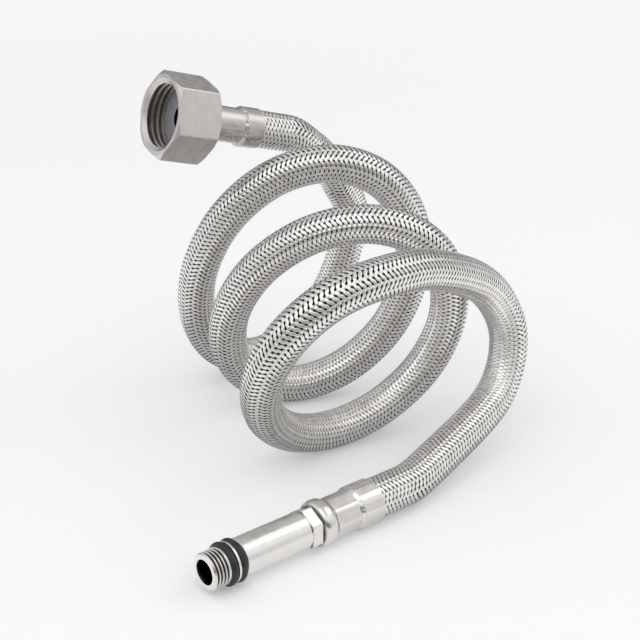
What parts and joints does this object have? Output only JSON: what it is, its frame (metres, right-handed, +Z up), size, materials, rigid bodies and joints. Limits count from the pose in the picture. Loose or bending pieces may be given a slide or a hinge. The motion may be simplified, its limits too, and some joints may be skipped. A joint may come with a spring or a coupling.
{
  "type": "flexible tap connector hose",
  "caption": "Steel-braided flexible tap connector hose, loosely coiled, with a hexagon swivel nut and washer at one end and a long threaded tail with O-rings at the other.",
  "frame": {"origin": "centre of the tail's tip face", "axes": "+X along the tail's axis, from its tip towards the hose; +Z up, square to the surface that the hose lies on"},
  "size_m": [0.1313, 0.1111, 0.1075],
  "materials": {
    "braid": "bright woven wire",
    "ferrule_steel": "satin",
    "nut_steel": "satin, brushed round",
    "turned_steel": "fine turned",
    "black_rubber": "satin",
    "liner_rubber": "matt",
    "grey_rubber": "satin"
  },
  "bodies": {
    "hose": {"braid_sleeve": "braid", "inner_tube": "liner_rubber", "tail_ferrule": "ferrule_steel", "tail_insert": "turned_steel", "o_ring_front": "black_rubber", "o_ring_rear": "black_rubber", "nut_ferrule": "ferrule_steel", "nut_insert": "turned_steel"},
    "washer": {"nut_washer": "grey_rubber"},
    "nut": {"swivel_nut": "nut_steel"}
  },
  "joints": [
    {"name": "washer_float", "type": "slide", "parent": "hose", "child": "washer", "axis": [-0.9587, 0.1177, 0.2588], "range_m": [0, 0.0008]},
    {"name": "nut_spin", "type": "hinge", "parent": "washer", "child": "nut", "pos_m": [0.05887, 0.08906, 0.08733], "axis": [-0.9587, 0.1177, 0.2588], "continuous": true}
  ]
}
